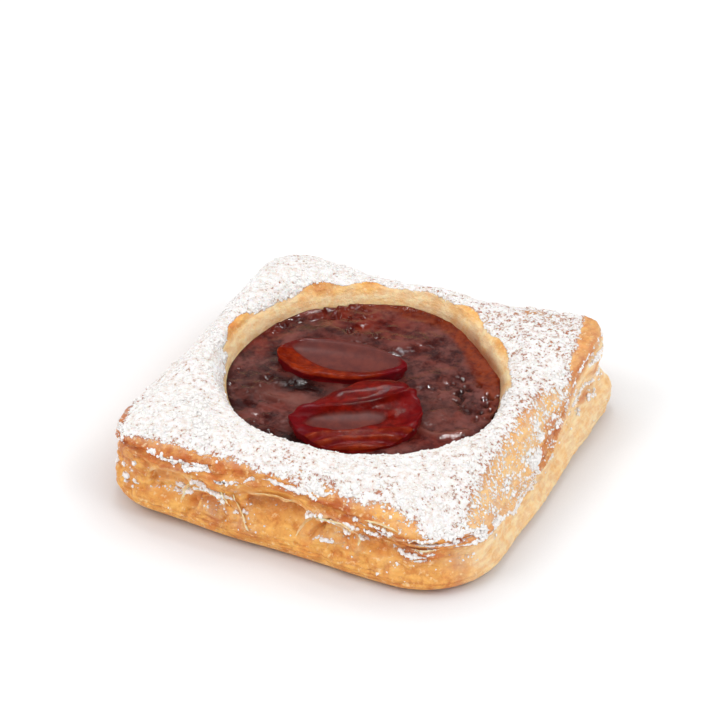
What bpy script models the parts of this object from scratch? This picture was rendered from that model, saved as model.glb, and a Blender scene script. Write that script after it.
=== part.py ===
"""A square danish pastry: a baked shell with a round window, plum jam in its well and two plum wedges.

Run with: blender --background --python part.py. Metres, +Z up, the front side faces -Y.
"""

import math

import bmesh
import bpy
from mathutils import Matrix, Vector

MM = 0.001

# Corners of the pastry seen from above, with the radius each is rounded to: back right, back left,
# front left, front right.
CORNERS = [(51.5, 51.5, 8.0), (-51.0, 51.0, 12.0), (-51.0, -50.5, 14.0), (53.0, -50.2, 21.0)]
WINDOW_CENTRE = Vector((-1.2 * MM, 2.6 * MM, 0.0))
WINDOW_RADIUS = 38.4 * MM

# Places round the pastry at which its uneven heights and insets are named, a turn of 45 degrees apart:
# right side, back right corner, back, back left corner, left side, front left corner, front and
# front right corner.
RIM_HEIGHT = [24.0, 25.0, 25.5, 25.5, 24.5, 24.2, 24.6, 24.0]
CREST_RISE = [0.8, 1.0, 1.0, 2.4, 1.6, 1.2, 1.2, 0.6]
LIP_HEIGHT = [12.5, 26.0, 19.0, 21.5, 20.0, 20.8, 22.2, 14.5]
LID_INSET = [2.2, 3.0, 2.0, 1.5, 1.2, 0.8, 1.6, 2.4]
GROOVE_DEPTH = [2.4, 3.6, 1.6, 1.6, 1.6, 1.2, 1.2, 1.8]
EDGE_LIFT = [0.4, 0.6, 0.4, 0.8, 0.6, 2.4, 0.4, 0.4]
JAM_HEIGHT = [19.5, 20.5, 21.5, 21.0, 19.5, 18.5, 18.0, 18.5]

# Local changes: the angle and half the spread in degrees, and the change in millimetres.
CREST_BUMPS = [(111.0, 13.0, -2.0), (140.0, 12.0, 1.2), (46.0, 10.0, 0.8)]
OUTLINE_BUMPS = [(26.0, 12.0, -0.6), (250.0, 9.0, 0.8)]
WINDOW_BUMPS = [(52.0, 24.0, -2.0), (350.0, 16.0, 1.0), (275.0, 30.0, -1.6), (225.0, 14.0, -0.8)]

# Heights of the side's rows as shares of the lip's height, and how far each stands from the lid's edge
# (in millimetres) or, below the seam, from the base's edge.
LID_SIDE = [(1.0, 0.0), (0.945, -0.8), (0.885, 0.8), (0.8, 0.0)]
LID_FACE = [(0.67, 0.35), (0.56, 0.7), (0.46, 1.0)]
BASE_SIDE = [(0.38, 0.8, 0.0), (0.29, 0.2, -0.1), (0.19, 0.0, 0.0), (0.10, 0.0, -0.4)]

# The well under the window, and the jam in it.
WELL_FLOOR = 7.0 * MM
WALL_SLOPE = 2.2 * MM
GAP = 0.3 * MM

# How finely the solids are cut into faces. The front is cut finer, for its blisters.
SPOKES = 132
FRONT_DENSITY = 0.9
JAM_SPOKES = 66
TOP_SHARES = [0.06, 0.15, 0.27, 0.41, 0.56, 0.71, 0.85]
JAM_SHARES = [0.1, 0.22, 0.34, 0.46, 0.58, 0.7, 0.82, 0.92]

# Blisters and hollows in the sides: where each lies, its half length and half height, and how far
# it stands out (or, if negative, how far it is sunk).
BLISTERS = [
    (-30.0, -50.0, 11.5, 7.5, 5.0, -2.6),
    (-21.5, -50.0, 10.5, 3.5, 3.5, 1.2),
    (0.5, -50.0, 14.0, 10.0, 5.5, -3.2),
    (15.5, -50.0, 12.5, 6.5, 5.0, 1.8),
    (29.0, -50.0, 12.5, 7.5, 3.5, -2.4),
    (49.5, 48.5, 10.0, 8.0, 5.0, 2.4),
    (51.5, -8.0, 5.5, 11.0, 3.0, 0.7),
    (12.0, 50.5, 11.5, 9.0, 4.5, -1.8),
    (-20.0, 50.5, 10.5, 8.0, 4.0, 1.0),
    (-50.5, 16.0, 11.5, 9.0, 4.5, -1.8),
    (-50.5, -16.0, 10.5, 8.0, 4.0, -1.4),
]

# Plum wedges: centre, turn about Z, lean towards the front, length, width, depth of the skin side,
# where along it the near and the far edge are fullest, how quickly it narrows to its ends, and how
# strongly its cut face is folded lengthwise.
PLUM_WEDGES = {
    "plum_wedge_back": dict(
        centre=(-9.8, 7.5, 21.8), turn=13.0, lean=9.0, length=34.6, width=15.5, depth=8.0,
        fullest_near=0.42, fullest_far=0.46, narrowing=0.68, fold=0.0,
    ),
    "plum_wedge_front": dict(
        centre=(4.2, -13.2, 21.4), turn=29.5, lean=12.0, length=34.4, width=25.6, depth=9.5,
        fullest_near=0.50, fullest_far=0.69, narrowing=0.60, fold=0.9,
    ),
}
WEDGE_STEPS = 18
WEDGE_SIDES = 24

# A ridge of jam behind the back wedge: middle, turn in degrees, half length, half width and height.
JAM_RIDGE = (-12.0, 20.5, 12.0, 14.0, 4.5, 1.3)

CRUST_COLOUR = (0.72, 0.40, 0.14, 1.0)
JAM_COLOUR = (0.10, 0.02, 0.012, 1.0)
PLUM_COLOUR = (0.22, 0.025, 0.012, 1.0)


def clear_scene():
    """Removes what the file holds at the start."""
    for old in list(bpy.data.objects):
        bpy.data.objects.remove(old, do_unlink=True)


def finish_material(name, colour, roughness):
    """A plain non-metallic finish."""
    material = bpy.data.materials.new(name)
    material.use_nodes = True
    shader = material.node_tree.nodes["Principled BSDF"]
    shader.inputs["Base Color"].default_value = colour
    shader.inputs["Roughness"].default_value = roughness
    shader.inputs["Metallic"].default_value = 0.0
    return material


def round_about(values, angle):
    """Reads a list of eight values, one every 45 degrees, at any angle, with a smooth ease between them."""
    place = (angle / (2 * math.pi) * len(values)) % len(values)
    low = int(place)
    ease = 0.5 - 0.5 * math.cos(math.pi * (place - low))
    return values[low] * (1 - ease) + values[(low + 1) % len(values)] * ease


def ripple(angle, beats, shift):
    """A gentle wave round the pastry, from -1 to 1, that keeps two sides from being alike."""
    return 0.6 * math.sin(beats * angle + shift) + 0.4 * math.sin((2 * beats + 1) * angle + 2.3 * shift)


def bumps_at(bumps, angle):
    """What the local changes of a list add up to at this angle."""
    total = 0.0
    for middle, spread, change in bumps:
        away = abs((math.degrees(angle) - middle + 180) % 360 - 180) / spread
        if away < 2:
            total += change * (0.5 + 0.5 * math.cos(math.pi * away / 2))
    return total


def rounded_outline():
    """The square with its four rounded corners, as many short steps, anticlockwise from the right."""
    points = []
    for k, (x, y, radius) in enumerate(CORNERS):
        corner = Vector((x, y)) * MM
        before = Vector(CORNERS[k - 1][:2]) * MM
        after = Vector(CORNERS[(k + 1) % 4][:2]) * MM
        come, leave = (corner - before).normalized(), (after - corner).normalized()
        turn = math.acos(come.dot(leave))
        start = corner - come * radius * MM * math.tan(turn / 2)
        inward = Vector((-come.y, come.x))
        middle = start + inward * radius * MM
        for step in range(41):
            at = turn * step / 40
            points.append(middle - inward * radius * MM * math.cos(at) + come * radius * MM * math.sin(at))
    return points


def outline_spokes(count):
    """Directions from the window's centre and distances to the outline, closest together at the front."""
    corners = rounded_outline()
    path = []
    for before, after in zip(corners, corners[1:] + corners[:1]):
        steps = max(1, round((after - before).length / (0.5 * MM)))
        path += [before + (after - before) * step / steps for step in range(steps)]
    path.append(path[0])
    walked = [0.0]
    for before, after in zip(path, path[1:]):
        facing = max(0.0, -after.normalized().y)
        walked.append(walked[-1] + (after - before).length * (1 + FRONT_DENSITY * facing ** 4))
    spokes = []
    at = 0
    for k in range(count):
        target = walked[-1] * k / count
        while walked[at + 1] < target:
            at += 1
        share = (target - walked[at]) / (walked[at + 1] - walked[at])
        point = path[at] + (path[at + 1] - path[at]) * share
        angle = math.atan2(point.y, point.x) % (2 * math.pi)
        outward = Vector((point.x, point.y, 0.0)) - WINDOW_CENTRE
        reach = outward.length + bumps_at(OUTLINE_BUMPS, angle) * MM + 0.3 * MM * ripple(angle, 5, 0.7)
        spokes.append((angle, outward.normalized(), reach))
    return spokes


def window_radius(angle):
    """The window's edge, cut by hand and stretched by the oven, so never quite round."""
    return WINDOW_RADIUS + bumps_at(WINDOW_BUMPS, angle) * MM + 0.3 * MM * ripple(angle, 3, 1.9)


def wall_rows(angle):
    """The inner wall of the window from the well's floor up to the rim, as (distance, height)."""
    edge = window_radius(angle)
    rim = round_about(RIM_HEIGHT, angle) * MM
    return [
        (edge - 3 * WALL_SLOPE, WELL_FLOOR),
        (edge - 2.4 * WALL_SLOPE, WELL_FLOOR + 2.5 * MM),
        (edge - 1.7 * WALL_SLOPE, WELL_FLOOR + 8.0 * MM),
        (edge - 1.1 * WALL_SLOPE, rim - 4.2 * MM),
        (edge - 0.4 * WALL_SLOPE, rim - 1.6 * MM),
        (edge + 0.2 * WALL_SLOPE, rim),
    ]


def top_rows(angle, reach):
    """The lid's pillowed top, from the window's rim over its crest and down to the lip."""
    edge = window_radius(angle)
    rim = round_about(RIM_HEIGHT, angle) * MM
    crest = rim + (round_about(CREST_RISE, angle) + bumps_at(CREST_BUMPS, angle)) * MM
    lip = round_about(LIP_HEIGHT, angle) * MM
    end = reach - round_about(LID_INSET, angle) * MM
    rows = []
    for share in TOP_SHARES:
        if share < 0.27:
            height = rim + (crest - rim) * math.sin(math.pi / 2 * share / 0.27)
        else:
            fall = ((share - 0.27) / 0.73) ** 1.35
            height = lip + (crest - lip) * math.cos(math.pi / 2 * fall)
        height += 0.35 * MM * ripple(angle, 4, 6 * share) * math.sin(math.pi * share)
        rows.append((edge + (end - edge) * share, height))
    rows.append((end - 0.9 * MM, lip + 1.2 * MM))
    return rows


def side_rows(angle, reach):
    """The lid's lip, the sugared ledge under it, the sunken seam and the base sheet's rounded edge."""
    lip = round_about(LIP_HEIGHT, angle) * MM
    lift = round_about(EDGE_LIFT, angle) * MM
    groove = round_about(GROOVE_DEPTH, angle) * MM
    end = reach - round_about(LID_INSET, angle) * MM
    wave = 0.3 * MM * ripple(angle, 9, 0.4)
    high = lip - lift
    rows = [(end + out * MM + wave * (share < 0.9), lift + share * high) for share, out in LID_SIDE]
    for share, depth in LID_FACE:
        blend = (depth - 0.35) / 0.65
        rows.append((end * (1 - blend) + reach * blend - depth * groove, lift + share * high))
    for share, depth, out in BASE_SIDE:
        rows.append((reach - depth * groove + out * MM - wave, lift + share * high))
    rows.append((reach - 1.3 * MM, 0.6 * MM + lift))
    rows.append((reach - 3.4 * MM, 0.6 * lift))
    return rows


def blister_push(place):
    """How far the blisters move this point of the side outwards."""
    push = 0.0
    for x, y, z, half_length, half_height, out in BLISTERS:
        along = math.hypot(place.x / MM - x, place.y / MM - y) / half_length
        up = (place.z / MM - z) / half_height
        near = 1 - along * along - up * up
        if near > 0:
            push += out * MM * near ** 0.75
    return push


def pastry_profile(angle, outward, reach):
    """One slice of the shell, from the well's floor round to the underside, as points in space."""
    rows = [(0.5 * window_radius(angle), WELL_FLOOR)]
    rows += wall_rows(angle)
    rows += top_rows(angle, reach)
    first_side = len(rows) + 2
    rows += side_rows(angle, reach)
    last_side = len(rows) - 2
    rows += [(0.84 * reach, 0.0), (0.45 * reach, 0.0)]
    points = []
    for number, (distance, height) in enumerate(rows):
        place = WINDOW_CENTRE + outward * distance + Vector((0, 0, height))
        if first_side < number < last_side:
            place += outward * blister_push(place)
        points.append(place)
    return points


def ring_mesh(name, profiles, first_centre, last_centre):
    """A closed mesh from profiles that stand round an axis, with a fan of faces over each end."""
    shape = bmesh.new()
    rings = [[shape.verts.new(point) for point in profile] for profile in profiles]
    first = shape.verts.new(first_centre)
    last = shape.verts.new(last_centre)
    for ring, after in zip(rings, rings[1:] + rings[:1]):
        shape.faces.new((first, ring[0], after[0]))
        shape.faces.new((last, after[-1], ring[-1]))
        for k in range(len(ring) - 1):
            shape.faces.new((ring[k], ring[k + 1], after[k + 1], after[k]))
    bmesh.ops.recalc_face_normals(shape, faces=shape.faces)
    mesh = bpy.data.meshes.new(name)
    shape.to_mesh(mesh)
    shape.free()
    return mesh


def add_object(name, mesh, material):
    """Adds a mesh to the scene under its own name, shaded smooth."""
    mesh.materials.append(material)
    mesh.shade_smooth()
    made = bpy.data.objects.new(name, mesh)
    bpy.context.scene.collection.objects.link(made)
    return made


def make_pastry(material):
    """The baked shell: base sheet, well, and lid with its round window, all one piece."""
    profiles = [pastry_profile(*spoke) for spoke in outline_spokes(SPOKES)]
    floor = WINDOW_CENTRE + Vector((0, 0, WELL_FLOOR))
    return add_object("pastry", ring_mesh("pastry", profiles, floor, WINDOW_CENTRE), material)


def jam_top(place, angle, share):
    """The height of the jam's glossy top: uneven, heaped in the middle and drawn up at the wall."""
    x, y = place.x / MM, place.y / MM
    level = round_about(JAM_HEIGHT, angle) * share ** 2 + 19.6 * (1 - share ** 2)
    lumps = 0.35 * math.sin(0.31 * x + 0.9) * math.cos(0.27 * y - 0.4) + 0.2 * math.sin(0.6 * x - 0.5 * y)
    middle_x, middle_y, turn, half_length, half_width, height = JAM_RIDGE
    turn = math.radians(turn)
    along = ((x - middle_x) * math.cos(turn) + (y - middle_y) * math.sin(turn)) / half_length
    across = ((y - middle_y) * math.cos(turn) - (x - middle_x) * math.sin(turn)) / half_width
    lumps += height * math.exp(-(along ** 4) - across ** 2)
    return (level + lumps * (1 - share ** 4)) * MM


def jam_profile(angle, outward):
    """One slice of the jam, from its middle out over the top, and down inside the window's wall."""
    wall = wall_rows(angle)
    edge_height = round_about(JAM_HEIGHT, angle) * MM
    low, high = wall[2], wall[3]
    climb = (edge_height - low[1]) / (high[1] - low[1])
    rim = low[0] + (high[0] - low[0]) * climb - 1.3 * GAP
    points = []
    for share in JAM_SHARES:
        place = WINDOW_CENTRE + outward * rim * share
        place.z = jam_top(place, angle, share)
        points.append(place)
    down = [(rim, edge_height)]
    down += [(distance - 1.3 * GAP, height) for distance, height in (wall[2], wall[1])]
    down += [(wall[0][0] - 1.3 * GAP, WELL_FLOOR + GAP), (0.5 * rim, WELL_FLOOR + GAP)]
    points += [WINDOW_CENTRE + outward * distance + Vector((0, 0, height)) for distance, height in down]
    return points


def fullness(share, fullest, narrowing):
    """How wide a wedge is at a share of its length: 1 where it is fullest, 0 at its tips."""
    peak = math.log(0.5) / math.log(fullest)
    return max(0.0, 1 - abs(2 * share ** peak - 1) ** 2.2) ** narrowing


def wedge_section(share, wedge, spare):
    """One cross-section of a plum wedge: a rounded skin side below, a dished cut face above."""
    near = fullness(share, wedge["fullest_near"], wedge["narrowing"])
    far = fullness(share, wedge["fullest_far"], wedge["narrowing"])
    taper = (near + far) / 2
    half_width = wedge["width"] / 2 * MM + spare
    depth = wedge["depth"] * MM + spare
    points = []
    for k in range(WEDGE_SIDES):
        turn = 2 * math.pi * k / WEDGE_SIDES
        across, rise = math.cos(turn), math.sin(turn)
        if rise < 0:
            up = -depth * abs(rise) ** 0.85 * taper ** 0.5
            bulge = 1 + 0.1 * abs(math.sin(2 * turn))
        else:
            ridge = 1.6 * math.exp(-(((abs(across) - 0.78) / 0.2) ** 2)) - 0.5 * (1 - across * across)
            fold = wedge["fold"] * math.cos(1.8 * math.pi * (across - 0.5)) * rise
            up = (ridge * min(1.0, 4 * rise) + fold) * MM * taper + spare
            bulge = 1.0
        edge = far if across > 0 else near
        points.append(Vector((0.0, across * half_width * edge * bulge, up)))
    return points


def wedge_mesh(name, wedge, spare):
    """A boat-shaped plum wedge along X, with its cut face up, and larger by a spare gap all round."""
    length = wedge["length"] * MM + 2 * spare
    shape = bmesh.new()
    rings = []
    for step in range(1, WEDGE_STEPS):
        share = 0.5 - 0.5 * math.cos(math.pi * step / WEDGE_STEPS)
        bend = Vector((length * (share - 0.5), 0.0, 1.2 * MM * (2 * share - 1) ** 2))
        rings.append([shape.verts.new(point + bend) for point in wedge_section(share, wedge, spare)])
    for ring, after in zip(rings, rings[1:]):
        for k in range(WEDGE_SIDES):
            shape.faces.new((ring[k], ring[k - 1], after[k - 1], after[k]))
    for ring, side in ((rings[0], -1), (rings[-1], 1)):
        tip = shape.verts.new(Vector((side * length / 2, 0.0, 1.0 * MM)))
        for k in range(WEDGE_SIDES):
            shape.faces.new((ring[k], ring[k - 1], tip))
    bmesh.ops.recalc_face_normals(shape, faces=shape.faces)
    mesh = bpy.data.meshes.new(name)
    shape.to_mesh(mesh)
    shape.free()
    return mesh


def wedge_place(wedge):
    """Where a wedge lies: turned about Z, and leaning towards the front."""
    centre = Vector(wedge["centre"]) * MM
    turn = Matrix.Rotation(math.radians(wedge["turn"]), 4, "Z")
    lean = Matrix.Rotation(math.radians(wedge["lean"]), 4, "X")
    return Matrix.Translation(centre) @ turn @ lean


def make_wedge(name, wedge, material):
    """One plum wedge, resting in the jam."""
    made = add_object(name, wedge_mesh(name, wedge, 0.0), material)
    made.matrix_world = wedge_place(wedge)
    return made


def make_pocket(name, wedge):
    """A slightly larger wedge that cuts its bed out of the jam."""
    mesh = wedge_mesh(name, wedge, GAP)
    cutter = bpy.data.objects.new(name, mesh)
    bpy.context.scene.collection.objects.link(cutter)
    cutter.matrix_world = wedge_place(wedge)
    cutter.hide_render = True
    cutter.display_type = "WIRE"
    return cutter


def make_jam(material):
    """The jam that fills the well, with a bed cut round each plum wedge."""
    every = SPOKES // JAM_SPOKES
    profiles = [jam_profile(angle, outward) for angle, outward, _ in outline_spokes(SPOKES)[::every]]
    middle = WINDOW_CENTRE + Vector((0, 0, jam_top(WINDOW_CENTRE, 0.0, 0.0)))
    floor = WINDOW_CENTRE + Vector((0, 0, WELL_FLOOR + GAP))
    jam = add_object("plum_jam", ring_mesh("plum_jam", profiles, middle, floor), material)
    for name, wedge in PLUM_WEDGES.items():
        bed = jam.modifiers.new("bed_" + name, "BOOLEAN")
        bed.operation = "DIFFERENCE"
        bed.solver = "EXACT"
        bed.object = make_pocket("pocket_" + name, wedge)
    return jam


def centre_on_origin():
    """Moves everything together, so that the shell's middle stands over the origin."""
    places = [vertex.co for vertex in bpy.data.objects["pastry"].data.vertices]
    middle_x = (min(place.x for place in places) + max(place.x for place in places)) / 2
    middle_y = (min(place.y for place in places) + max(place.y for place in places)) / 2
    for piece in bpy.data.objects:
        piece.location -= Vector((middle_x, middle_y, 0.0))


def main():
    clear_scene()
    crust = finish_material("crust", CRUST_COLOUR, 0.6)
    jam = finish_material("jam", JAM_COLOUR, 0.15)
    plum = finish_material("plum", PLUM_COLOUR, 0.2)
    make_pastry(crust)
    make_jam(jam)
    for name, wedge in PLUM_WEDGES.items():
        make_wedge(name, wedge, plum)
    centre_on_origin()


main()
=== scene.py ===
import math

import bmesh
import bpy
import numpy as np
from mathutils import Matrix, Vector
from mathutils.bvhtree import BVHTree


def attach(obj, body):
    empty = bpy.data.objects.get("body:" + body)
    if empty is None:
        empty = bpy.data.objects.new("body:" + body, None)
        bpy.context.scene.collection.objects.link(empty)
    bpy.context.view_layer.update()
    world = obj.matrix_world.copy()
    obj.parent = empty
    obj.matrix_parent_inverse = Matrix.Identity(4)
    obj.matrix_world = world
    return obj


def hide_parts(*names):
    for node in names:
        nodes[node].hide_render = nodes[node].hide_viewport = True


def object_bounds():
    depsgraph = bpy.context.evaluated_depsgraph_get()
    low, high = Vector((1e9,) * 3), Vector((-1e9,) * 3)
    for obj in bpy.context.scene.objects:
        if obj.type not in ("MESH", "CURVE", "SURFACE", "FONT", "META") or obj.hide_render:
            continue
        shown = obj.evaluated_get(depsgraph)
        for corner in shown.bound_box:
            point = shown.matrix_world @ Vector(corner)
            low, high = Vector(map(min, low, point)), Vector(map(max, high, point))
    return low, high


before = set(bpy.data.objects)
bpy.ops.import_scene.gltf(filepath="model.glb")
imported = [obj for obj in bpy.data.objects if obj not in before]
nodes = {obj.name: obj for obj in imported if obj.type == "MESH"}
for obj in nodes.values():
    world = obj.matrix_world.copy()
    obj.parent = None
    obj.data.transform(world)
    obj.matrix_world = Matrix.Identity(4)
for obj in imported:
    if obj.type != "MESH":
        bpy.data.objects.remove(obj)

# %% [markdown]
# # Plum danish
# A square of laminated dough with a round window cut in its lid. Plum jam fills the well under the window,
# two plum wedges lie in the jam, and icing sugar is sifted over the top.
#
# The CAD solids give every piece its place and size. This file only adds what a photo shows: relief too fine
# for the solids, the sugar, the gloss and the light. Shapes are worked out in millimetres, and MM turns them
# into Blender's metres where they are written to a mesh.

MM = 0.001
cad_bounds = [list(corner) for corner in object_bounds()]
low, high = np.array(cad_bounds[0]), np.array(cad_bounds[1])
scene = bpy.context.scene
random = np.random.default_rng(20)
print("CAD box in mm:", [[round(v / MM, 1) for v in corner] for corner in cad_bounds])

# %% [markdown]
# ## Noise for relief and colour
# Baked dough is uneven at every scale, from the swell of a layer to the grain of its skin. A smooth noise is
# read at each vertex: random values stand on a cubic lattice and are blended between its corners. The same
# seed always gives the same pastry.


# %% Smooth noise at a set of points
def soft_noise(points, size, seed):
    """Values from -1 to 1 that change smoothly over the given size, which may differ along X, Y and Z."""
    table = np.random.default_rng(seed).uniform(-1, 1, 4096)
    place = points / np.asarray(size) + 100
    cell = np.floor(place).astype(np.int64)
    share = place - cell
    share = share * share * (3 - 2 * share)
    total = np.zeros(len(points))
    for corner in np.ndindex(2, 2, 2):
        at = cell + np.array(corner)
        index = (at[:, 0] * 73 + at[:, 1] * 911 + at[:, 2] * 3571) % 4096
        weight = np.prod(np.where(np.array(corner) == 1, share, 1 - share), axis=1)
        total += weight * table[index]
    return total


def rough_noise(points, size, seed, octaves):
    """Soft noise with finer and weaker copies of itself added."""
    total = np.zeros(len(points))
    for k in range(octaves):
        total += soft_noise(points, np.asarray(size) / 2 ** k, seed + k) / 2 ** k
    return total / (2 - 0.5 ** (octaves - 1))


def smooth_step(start, end, value):
    """0 before the start, 1 past the end, and a smooth ramp between them."""
    share = np.clip((value - start) / (end - start), 0, 1)
    return share * share * (3 - 2 * share)


def bell(value, width):
    """1 at zero and a soft fall to either side, over about this width."""
    return np.exp(-((value / width) ** 2))


print("noise of one point:", soft_noise(np.ones((1, 3)), (3, 3, 3), 1))

# %% [markdown]
# ## Reading and writing meshes
# Each visual piece starts as a copy of its CAD node, so it keeps the true form. The node's triangles are
# loose, so the copy is merged first, paired back into quads and subdivided. Then its vertices are moved all
# at once.


# %% Copy, refine and move a node's mesh
def add_object(name, data):
    """An object with this data, in the scene, at the origin."""
    obj = bpy.data.objects.new(name, data)
    scene.collection.objects.link(obj)
    return obj


def only(obj):
    """Selects this object alone and makes it active."""
    bpy.ops.object.select_all(action="DESELECT")
    obj.select_set(True)
    bpy.context.view_layer.objects.active = obj


def subdivide(obj, levels):
    """Rounds a mesh with a Subdivision Surface modifier and applies it."""
    only(obj)
    finer = obj.modifiers.new("finer", "SUBSURF")
    finer.levels = finer.render_levels = levels
    bpy.ops.object.modifier_apply(modifier=finer.name)


def refined_copy(node, name):
    """A merged copy of a CAD node, in quads where they pair, subdivided into a smooth surface."""
    copy = add_object(name, nodes[node].data.copy())
    only(copy)
    bpy.ops.object.mode_set(mode="EDIT")
    bpy.ops.mesh.select_all(action="SELECT")
    bpy.ops.mesh.remove_doubles(threshold=0.01 * MM)
    bpy.ops.mesh.tris_convert_to_quads(face_threshold=math.radians(60), shape_threshold=math.radians(80))
    bpy.ops.mesh.customdata_custom_splitnormals_clear()
    bpy.ops.object.mode_set(mode="OBJECT")
    subdivide(copy, 3)
    copy.data.materials.clear()
    copy.data.shade_smooth()
    return copy


def read_vertices(obj):
    """Places and normals of a mesh's vertices, as two arrays."""
    count = len(obj.data.vertices)
    places = np.empty(count * 3)
    obj.data.vertices.foreach_get("co", places)
    normals = np.empty(count * 3)
    obj.data.vertex_normals.foreach_get("vector", normals)
    return places.reshape(-1, 3), normals.reshape(-1, 3)


def displace(obj, places, normals, relief):
    """Moves the vertices along their normals by a relief in millimetres, but not out of the CAD box."""
    moved = np.clip(places + normals * (relief * MM)[:, None], low, high)
    obj.data.vertices.foreach_set("co", moved.ravel())
    obj.data.update()


def write_values(obj, **named):
    """Stores numbers a vertex, from 0 to 1, which a material reads by their names."""
    for name, values in named.items():
        values = np.clip(values, 0, 1).astype(np.float32)
        obj.data.attributes.new(name, "FLOAT", "POINT").data.foreach_set("value", values)
        print(obj.name, name, "mean", round(float(values.mean()), 3))


def span(values):
    """The least and the greatest of these lengths in millimetres, for printing."""
    return f"{values.min():.2f} to {values.max():.2f} mm"


print("tools ready")

# %% [markdown]
# ## Where things are
# The places below repeat the solids' own: the window and the small bumps in its edge, the height of the lid's
# lip and the level of the jam at eight places round it. They tell the later steps where the crust is inner
# wall, lid or side.

# %% Named places, in millimetres
SHIFT = np.array([-0.73, -0.41])
WINDOW = np.array([-1.2, 2.6]) + SHIFT
WINDOW_RADIUS = 38.4
# Bumps in the window's edge: angle and width in degrees, and height.
WINDOW_BUMPS = [(52.0, 24.0, -2.0), (350.0, 16.0, 1.0), (275.0, 30.0, -1.6), (225.0, 14.0, -0.8)]
HALF_SIDE = 51.2
# Right side, back right corner, back, back left corner, left side, front left corner, front, front right
# corner.
LIP_HEIGHT = [12.5, 26.0, 19.0, 21.5, 20.0, 20.8, 22.2, 14.5]
JAM_HEIGHT = [19.5, 20.5, 21.5, 21.0, 19.5, 18.5, 18.0, 18.5]


def round_about(values, angle):
    """Reads a list of eight values, one every 45 degrees, at any angle, with a smooth ease between them."""
    values = np.asarray(values, float)
    place = (angle / (2 * math.pi) * len(values)) % len(values)
    before = np.floor(place).astype(int) % len(values)
    ease = 0.5 - 0.5 * np.cos(math.pi * (place - np.floor(place)))
    return values[before] * (1 - ease) + values[(before + 1) % len(values)] * ease


def patch(x, y, middle, spread):
    """A soft-edged patch: 1 in its middle and 0 well outside it."""
    return np.exp(-(((x - middle[0]) / spread[0]) ** 2) - ((y - middle[1]) / spread[1]) ** 2)


def patches(x, y, rows):
    """The sum of several patches, each row giving a weight, a middle and a spread."""
    return sum(weight * patch(x, y, (mx, my), (sx, sy)) for weight, mx, my, sx, sy in rows)


print("window centre in mm:", WINDOW)

# %% [markdown]
# ## The baked crust
# The real one is rolled dough with butter folded in, so its sides open in thin leaves, blisters and hollows
# when it bakes, and its top swells unevenly. The CAD shell has the large forms. A Displace modifier could
# roughen its copy evenly, but the leaves, mouths and ledges have places of their own, so the vertices are
# moved by a sum of named forms instead. A ledge or a mouth is a sawtooth: a sharp step on one side and a slow
# run back on the other.

# %% Where the crust is wall, top or side
crust = refined_copy("pastry", "crust")
places, normals = read_vertices(crust)
spots = places / MM
x, y, z = spots.T
angle = np.arctan2(y, x) % (2 * math.pi)
window_reach = WINDOW_RADIUS + 0.3 * np.sin(3 * angle + 1.9)
for middle, width, height in WINDOW_BUMPS:
    window_reach += height * bell((np.degrees(angle) - middle + 180) % 360 - 180, width)
from_window = np.hypot(x - WINDOW[0], y - WINDOW[1]) - window_reach
from_edge = HALF_SIDE - np.maximum(np.abs(x), np.abs(y))
lip = round_about(LIP_HEIGHT, angle)
steep = smooth_step(0.35, 0.8, 1 - np.abs(normals[:, 2]))
side = steep * smooth_step(5, 8, from_window) * smooth_step(0.8, 2.5, z)
wall = smooth_step(1.8, 0.2, from_window)
top = smooth_step(0.25, 0.7, normals[:, 2]) * smooth_step(-0.6, 0.6, from_window)
# A side's name, the axis that runs along it and the direction it faces.
SIDES = {
    "front": (x, -normals[:, 1]), "back": (x, normals[:, 1]),
    "left": (y, -normals[:, 0]), "right": (y, normals[:, 0]),
}
print("vertices:", len(x), "of which on a side:", int((side > 0.5).sum()))

# %% Leaves, puffs and pits of the sides
# Leaves of dough: thin ledges that run round the sides, wander up and down, and fade in and out.
LEAF_PITCH, LINE_PITCH = 1.9, 1.15
wander = 1.1 * soft_noise(spots, (16, 16, 30), 3) + 0.5 * soft_noise(spots, (5, 5, 12), 4)
leaf = (z + wander) / LEAF_PITCH % 1
saw = smooth_step(0, 0.25, leaf) * (1 - leaf)
leaf_strength = smooth_step(-0.1, 0.7, soft_noise(spots, (9, 9, 2.2), 5))
relief = side * 0.75 * leaf_strength * (saw - 0.25)
# Puffed dough: rounded swells that meet in sharp creases, where a smooth noise changes sign. Low down the
# leaves stay pressed together, so only thin lines show.
swell = np.abs(rough_noise(spots, (8, 8, 4.2), 8, 2)) ** 0.75
small_swell = np.abs(soft_noise(spots, (3.2, 3.2, 1.9), 10)) ** 0.75
puffed = side * (0.35 + 0.65 * smooth_step(3, 8, z)) * (1 - 0.6 * smooth_step(0.5, 0.9, normals[:, 0]))
relief += puffed * (1.7 * (swell - 0.28) + 0.8 * (small_swell - 0.4))
lines = np.sin(2 * math.pi * (z + 0.6 * wander) / LINE_PITCH)
relief += side * 0.16 * lines * smooth_step(8, 4.5, z)
pits = soft_noise(spots, (2.4, 2.4, 1.5), 12)
relief += puffed * (0.35 * pits - 0.8 * smooth_step(0.4, 0.8, pits))
relief += side * 0.17 * soft_noise(spots, (1.0, 1.0, 0.8), 15)
print("sides: relief", span(relief))

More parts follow.
